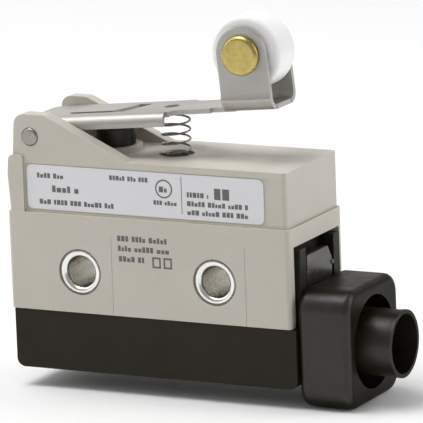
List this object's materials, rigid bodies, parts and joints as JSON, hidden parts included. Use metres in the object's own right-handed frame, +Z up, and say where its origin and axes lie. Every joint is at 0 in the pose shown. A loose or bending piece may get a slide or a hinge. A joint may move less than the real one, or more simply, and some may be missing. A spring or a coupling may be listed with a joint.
{
  "type": "limit switch",
  "caption": "Sealed limit switch with a hinged roller lever on top, through holes for mounting and a rubber cable inlet at one end.",
  "frame": {"origin": "on the flat mounting face at the back of the case, midway between the two mounting holes", "axes": "+X along the case towards the cable inlet, +Y out of the mounting face into the machine, +Z up from the case towards the roller"},
  "size_m": [0.0687, 0.0205, 0.0646],
  "materials": {
    "case_plastic": "fine-textured beige grey moulding",
    "cover_plastic": "fine-textured near-black moulding",
    "black_rubber": "moulded matt rubber",
    "nameplate_film": "pale silver-grey printed film with a satin surface",
    "stainless": "rolled and pressed stainless sheet, softly brushed",
    "spring_wire": "drawn spring wire",
    "tinned_metal": "bright plated steel",
    "brass": "bright headed brass",
    "copper_alloy": "pressed copper alloy strip",
    "silver": "silver contact metal",
    "roller_nylon": "turned white nylon",
    "acetal": "smooth off-white acetal",
    "phenolic": "brown-black moulded phenolic"
  },
  "bodies": {
    "case": {"lower_case": "case_plastic", "upper_housing": "case_plastic", "nameplate": "nameplate_film", "body_gasket": "black_rubber", "mounting_sleeve_left": "tinned_metal", "mounting_sleeve_right": "tinned_metal", "hinge_pin": "stainless", "return_spring": "spring_wire", "plunger_cap": "black_rubber", "switch_base": "phenolic", "switch_lid": "phenolic", "contact_nc": "silver", "contact_no": "silver", "terminal_com": "copper_alloy", "terminal_no": "copper_alloy", "terminal_nc": "copper_alloy", "terminal_washer_com": "tinned_metal", "terminal_washer_no": "tinned_metal", "terminal_washer_nc": "tinned_metal", "terminal_screw_com": "tinned_metal", "terminal_screw_no": "tinned_metal", "terminal_screw_nc": "tinned_metal"},
    "lever": {"lever": "stainless", "roller_rivet": "brass"},
    "roller": {"roller": "roller_nylon"},
    "plunger": {"plunger": "acetal"},
    "pusher": {"pusher": "acetal", "switch_pin": "acetal", "overtravel_spring": "spring_wire"},
    "blade": {"snap_blade": "copper_alloy", "moving_contact": "silver"},
    "cover": {"terminal_cover": "cover_plastic", "cable_boot": "black_rubber", "cover_gasket": "black_rubber"},
    "latch": {"cover_latch": "cover_plastic"}
  },
  "joints": [
    {"name": "lever_pivot", "type": "hinge", "parent": "case", "child": "lever", "pos_m": [-0.0215, -0.01025, 0.0227], "axis": [0, 1, 0], "range_deg": [0, 10.5], "stiffness_Nm_per_rad": 0.25, "springref_deg": -8.59, "deforming": ["return_spring"]},
    {"name": "roller_spin", "type": "hinge", "parent": "lever", "child": "roller", "pos_m": [0.01629, -0.01025, 0.03763], "axis": [0, 1, 0], "continuous": true},
    {"name": "plunger_slide", "type": "slide", "parent": "case", "child": "plunger", "axis": [0, 0, -1], "range_m": [0, 0.00204], "deforming": ["plunger_cap", "overtravel_spring"]},
    {"name": "pusher_slide", "type": "slide", "parent": "case", "child": "pusher", "axis": [0, 0, -1], "range_m": [0, 0.00037]},
    {"name": "blade_flip", "type": "hinge", "parent": "case", "child": "blade", "pos_m": [-0.0215, -0.01025, 0.00715], "axis": [0, 1, 0], "range_deg": [0, 1.95]},
    {"name": "cover_slide", "type": "slide", "parent": "case", "child": "cover", "axis": [0, 0, -1], "range_m": [0, 0.03]},
    {"name": "latch_flex", "type": "hinge", "parent": "cover", "child": "latch", "pos_m": [0.02675, -0.01025, -0.0043], "axis": [0, -1, 0], "range_deg": [0, 8], "stiffness_Nm_per_rad": 0.05}
  ],
  "couplings": [
    {"joint": "plunger_slide", "follows": "lever_pivot", "m_per_rad": 0.0111},
    {"joint": "pusher_slide", "follows": "lever_pivot", "m_per_rad": 0.00202},
    {"joint": "blade_flip", "follows": "lever_pivot", "ratio": 0.181}
  ]
}
